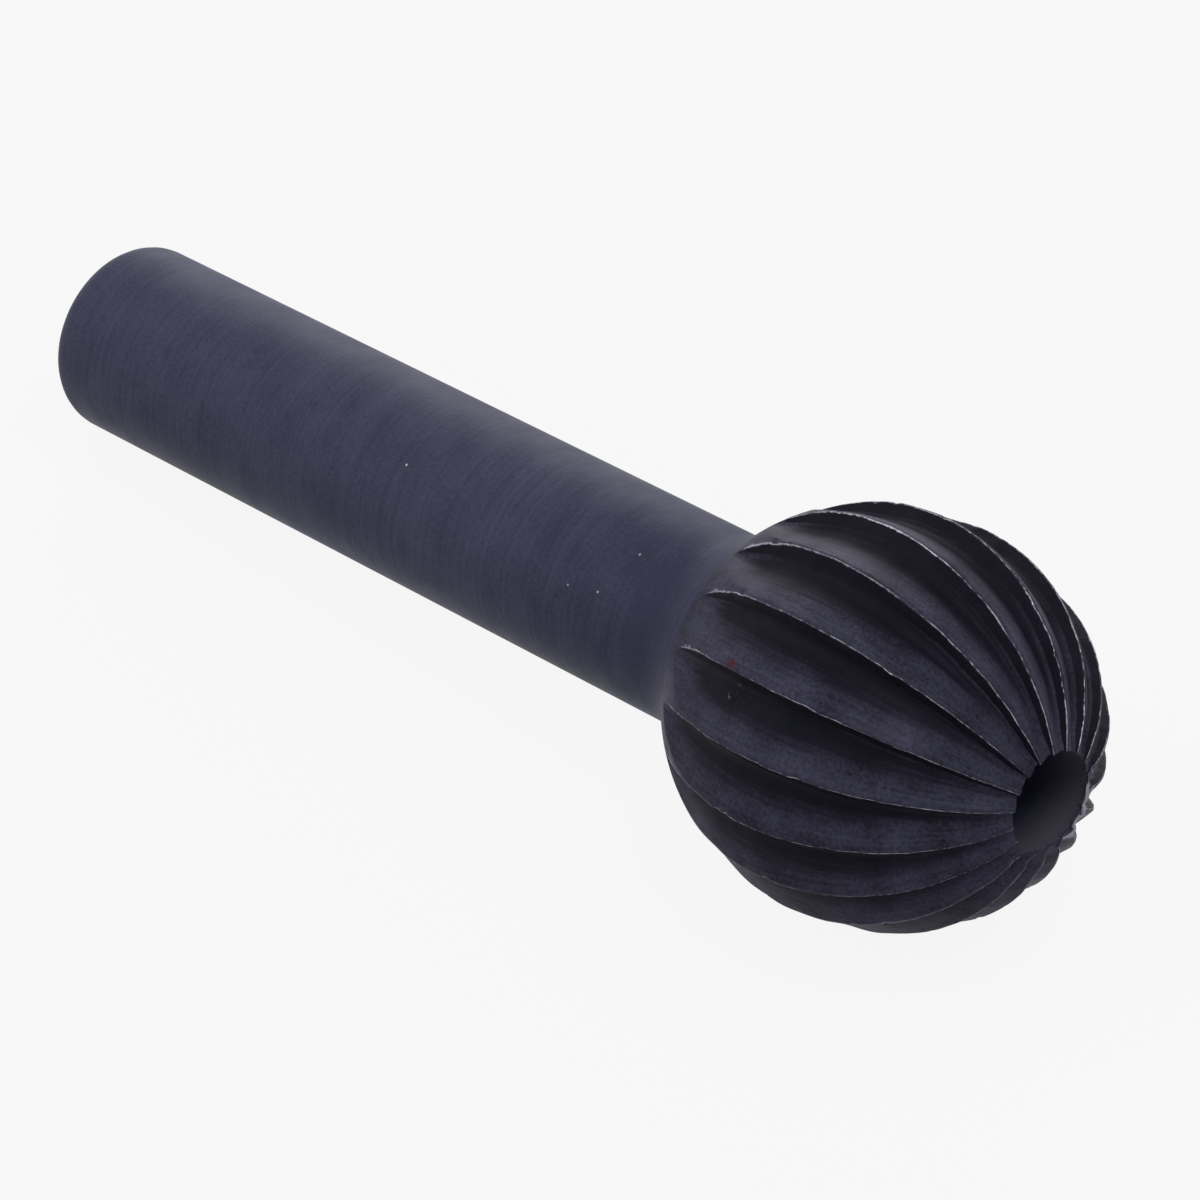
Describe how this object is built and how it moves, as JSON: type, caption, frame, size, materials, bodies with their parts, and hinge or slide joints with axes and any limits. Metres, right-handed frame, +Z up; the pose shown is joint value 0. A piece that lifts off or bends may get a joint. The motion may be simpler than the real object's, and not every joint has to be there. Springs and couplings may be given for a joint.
{
  "type": "ball rotary file",
  "caption": "One-piece steel rotary file: a plain round shank for a collet or chuck, a short neck and a ball-shaped head with straight teeth and a hole in its nose.",
  "frame": {"origin": "under the middle of the file as it lies: the centre of the bounding box's bottom face, on the surface that it lies on", "axes": "+X along the file towards the ball end and its nose, which points up by about 5 degrees, +Z up, +Y across"},
  "size_m": [0.042, 0.0126, 0.0125],
  "materials": {
    "black_steel": "black oxide, worn to bright steel along the tooth lands and round the rim of the nose hole"
  },
  "bodies": {
    "root": {"rotary_file": "black_steel"}
  },
  "joints": []
}
